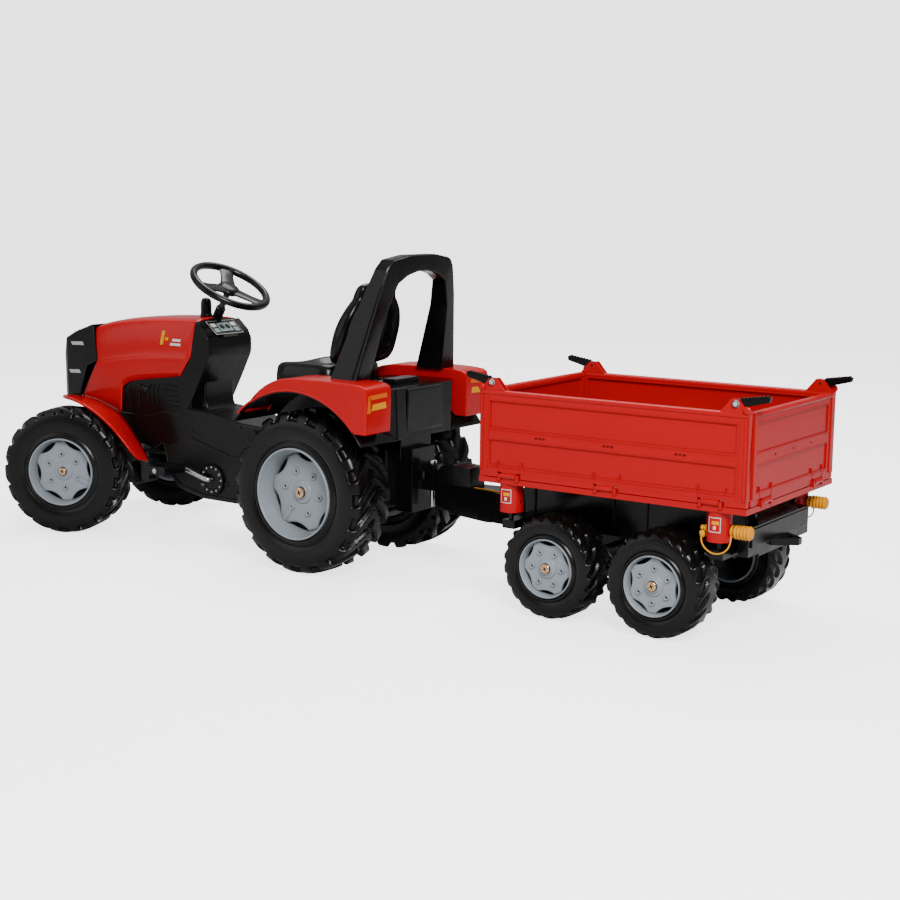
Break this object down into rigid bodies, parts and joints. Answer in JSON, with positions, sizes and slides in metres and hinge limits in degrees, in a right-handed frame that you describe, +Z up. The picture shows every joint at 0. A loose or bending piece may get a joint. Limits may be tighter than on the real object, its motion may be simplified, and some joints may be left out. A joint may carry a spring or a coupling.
{
  "type": "pedal tractor with tipping trailer",
  "caption": "Child's pedal tractor with lugged wheels, steered front axle and roll bar, coupled to a low tandem-axle trailer whose boxed bed tips and has drop sides.",
  "frame": {"origin": "centre of the overall box on the ground, trailer coupled and wheels turned as pictured", "axes": "+X forward along the tractor, +Y to the driver's left, +Z up from the ground"},
  "size_m": [2.1204, 0.6248, 0.737],
  "materials": {
    "red_plastic": "satin moulded plastic",
    "black_plastic": "fine moulded grain",
    "tyre_plastic": "blow-moulded, satin on the tread",
    "rim_grey": "light grey moulded plastic",
    "steel": "zinc-plated rod",
    "dark_steel": "black painted steel",
    "yellow_rubber": "soft matt"
  },
  "bodies": {
    "tractor": {"body_shell_left": "black_plastic", "body_shell_right": "black_plastic", "hood": "red_plastic", "grille": "black_plastic", "front_fender_left": "red_plastic", "front_fender_right": "red_plastic", "rear_fender_left": "red_plastic", "rear_fender_right": "red_plastic", "fender_liners": "black_plastic", "rear_cover": "black_plastic", "roll_bar": "black_plastic", "seat_base": "black_plastic", "seat_back": "black_plastic", "crank_bearings": "black_plastic", "front_axle": "dark_steel", "cowl_fittings": "black_plastic", "hitch_bracket": "black_plastic", "chain": "dark_steel"},
    "knuckle_left": {"knuckle_left": "dark_steel"},
    "knuckle_right": {"knuckle_right": "dark_steel"},
    "front_wheel_left": {"front_tyre_left": "tyre_plastic", "front_rim_left": "rim_grey"},
    "front_wheel_right": {"front_tyre_right": "tyre_plastic", "front_rim_right": "rim_grey"},
    "steering": {"steering_column": "steel", "steering_wheel": "black_plastic"},
    "tie_rod": {"tie_rod": "steel"},
    "drive_axle": {"rear_axle": "steel", "axle_sprocket": "dark_steel", "rear_rim_left": "rim_grey", "rear_tyre_left": "tyre_plastic"},
    "rear_wheel_right": {"rear_rim_right": "rim_grey", "rear_tyre_right": "tyre_plastic"},
    "crank": {"pedal_crank": "steel", "chainring": "dark_steel"},
    "pedal_left": {"pedal_left": "black_plastic"},
    "pedal_right": {"pedal_right": "black_plastic"},
    "hitch_pin": {"hitch_pin": "steel"},
    "trailer": {"trailer_chassis": "black_plastic", "trailer_axles": "steel"},
    "bed": {"bed_floor": "red_plastic", "front_board": "red_plastic", "lanyards": "yellow_rubber"},
    "side_board_left": {"side_board_left": "red_plastic"},
    "side_board_right": {"side_board_right": "red_plastic"},
    "tailgate": {"tailgate": "red_plastic"},
    "trailer_wheel_left_1": {"trailer_tyre_left_1": "tyre_plastic", "trailer_rim_left_1": "rim_grey"},
    "trailer_wheel_left_2": {"trailer_tyre_left_2": "tyre_plastic", "trailer_rim_left_2": "rim_grey"},
    "trailer_wheel_right_1": {"trailer_tyre_right_1": "tyre_plastic", "trailer_rim_right_1": "rim_grey"},
    "trailer_wheel_right_2": {"trailer_tyre_right_2": "tyre_plastic", "trailer_rim_right_2": "rim_grey"},
    "latch_lever_rear_left": {"latch_lever_rear_left": "black_plastic"},
    "latch_lever_front_left": {"latch_lever_front_left": "black_plastic"},
    "locking_pin_left": {"locking_pin_left": "yellow_rubber"},
    "latch_lever_rear_right": {"latch_lever_rear_right": "black_plastic"},
    "latch_lever_front_right": {"latch_lever_front_right": "black_plastic"},
    "locking_pin_right": {"locking_pin_right": "yellow_rubber"}
  },
  "joints": [
    {"name": "steer_left", "type": "hinge", "parent": "tractor", "child": "knuckle_left", "pos_m": [0.8838, 0.1785, 0.1625], "axis": [0, 0, 1], "range_deg": [-53.5, 6.5]},
    {"name": "steer_right", "type": "hinge", "parent": "tractor", "child": "knuckle_right", "pos_m": [0.8838, -0.1785, 0.1625], "axis": [0, 0, 1], "range_deg": [-54.5, 7.5]},
    {"name": "steering_wheel_turn", "type": "hinge", "parent": "tractor", "child": "steering", "pos_m": [0.5458, 0, 0.55], "axis": [-0.5, 0, 0.866], "range_deg": [-54.5, 7.5]},
    {"name": "tie_rod_pivot", "type": "hinge", "parent": "knuckle_left", "child": "tie_rod", "pos_m": [0.83336, 0.15657, 0.1302], "axis": [0, 0, 1], "range_deg": [-7.5, 54.5]},
    {"name": "front_wheel_left_spin", "type": "hinge", "parent": "knuckle_left", "child": "front_wheel_left", "pos_m": [0.8838, 0.1785, 0.1625], "axis": [-0.3987, 0.9171, 0], "continuous": true},
    {"name": "front_wheel_right_spin", "type": "hinge", "parent": "knuckle_right", "child": "front_wheel_right", "pos_m": [0.8838, -0.1785, 0.1625], "axis": [-0.3987, 0.9171, 0], "continuous": true},
    {"name": "drive_axle_spin", "type": "hinge", "parent": "tractor", "child": "drive_axle", "pos_m": [0.0888, 0, 0.1905], "axis": [0, 1, 0], "continuous": true},
    {"name": "rear_wheel_right_spin", "type": "hinge", "parent": "tractor", "child": "rear_wheel_right", "pos_m": [0.0888, 0, 0.1905], "axis": [0, 1, 0], "continuous": true},
    {"name": "crank_spin", "type": "hinge", "parent": "tractor", "child": "crank", "pos_m": [0.4888, 0, 0.158], "axis": [0, 1, 0], "continuous": true},
    {"name": "pedal_left_spin", "type": "hinge", "parent": "crank", "child": "pedal_left", "pos_m": [0.58539, 0, 0.18388], "axis": [0, 1, 0], "continuous": true},
    {"name": "pedal_right_spin", "type": "hinge", "parent": "crank", "child": "pedal_right", "pos_m": [0.39221, 0, 0.13212], "axis": [0, 1, 0], "continuous": true},
    {"name": "hitch_pin_lift", "type": "slide", "parent": "tractor", "child": "hitch_pin", "axis": [0, 0, 1], "range_m": [0, 0.11]},
    {"name": "trailer_yaw", "type": "hinge", "parent": "tractor", "child": "trailer", "pos_m": [-0.1352, 0, 0.224], "axis": [0, 0, 1], "range_deg": [-60, 60]},
    {"name": "trailer_wheel_left_1_spin", "type": "hinge", "parent": "trailer", "child": "trailer_wheel_left_1", "pos_m": [-0.5822, 0, 0.10975], "axis": [0, 1, 0], "continuous": true},
    {"name": "trailer_wheel_left_2_spin", "type": "hinge", "parent": "trailer", "child": "trailer_wheel_left_2", "pos_m": [-0.8292, 0, 0.10975], "axis": [0, 1, 0], "continuous": true},
    {"name": "trailer_wheel_right_1_spin", "type": "hinge", "parent": "trailer", "child": "trailer_wheel_right_1", "pos_m": [-0.5822, 0, 0.10975], "axis": [0, 1, 0], "continuous": true},
    {"name": "trailer_wheel_right_2_spin", "type": "hinge", "parent": "trailer", "child": "trailer_wheel_right_2", "pos_m": [-0.8292, 0, 0.10975], "axis": [0, 1, 0], "continuous": true},
    {"name": "bed_tip", "type": "hinge", "parent": "trailer", "child": "bed", "pos_m": [-0.9552, 0, 0.236], "axis": [0, 1, 0], "range_deg": [-32, 0]},
    {"name": "side_board_left_drop", "type": "hinge", "parent": "bed", "child": "side_board_left", "pos_m": [-0.7162, 0.2175, 0.293], "axis": [1, 0, 0], "range_deg": [-110, 0]},
    {"name": "side_board_right_drop", "type": "hinge", "parent": "bed", "child": "side_board_right", "pos_m": [-0.7162, -0.2175, 0.293], "axis": [1, 0, 0], "range_deg": [0, 110]},
    {"name": "tailgate_drop", "type": "hinge", "parent": "bed", "child": "tailgate", "pos_m": [-1.0227, 0, 0.293], "axis": [0, 1, 0], "range_deg": [-110, 0]},
    {"name": "latch_rear_left_lift", "type": "hinge", "parent": "side_board_left", "child": "latch_lever_rear_left", "pos_m": [-0.9922, 0.209, 0.488], "axis": [0, 1, 0], "range_deg": [0, 70]},
    {"name": "latch_front_left_lift", "type": "hinge", "parent": "side_board_left", "child": "latch_lever_front_left", "pos_m": [-0.4402, 0.209, 0.488], "axis": [0, 1, 0], "range_deg": [-70, 0]},
    {"name": "locking_pin_left_pull", "type": "slide", "parent": "bed", "child": "locking_pin_left", "axis": [-1, 0, 0], "range_m": [0, 0.045]},
    {"name": "latch_rear_right_lift", "type": "hinge", "parent": "side_board_right", "child": "latch_lever_rear_right", "pos_m": [-0.9922, -0.209, 0.488], "axis": [0, 1, 0], "range_deg": [0, 70]},
    {"name": "latch_front_right_lift", "type": "hinge", "parent": "side_board_right", "child": "latch_lever_front_right", "pos_m": [-0.4402, -0.209, 0.488], "axis": [0, 1, 0], "range_deg": [-70, 0]},
    {"name": "locking_pin_right_pull", "type": "slide", "parent": "bed", "child": "locking_pin_right", "axis": [-1, 0, 0], "range_m": [0, 0.045]}
  ],
  "couplings": [
    {"joint": "steer_right", "follows": "steer_left", "ratio": 1},
    {"joint": "steering_wheel_turn", "follows": "steer_left", "ratio": 1},
    {"joint": "tie_rod_pivot", "follows": "steer_left", "ratio": -1},
    {"joint": "crank_spin", "follows": "drive_axle_spin", "ratio": 0.63636}
  ]
}
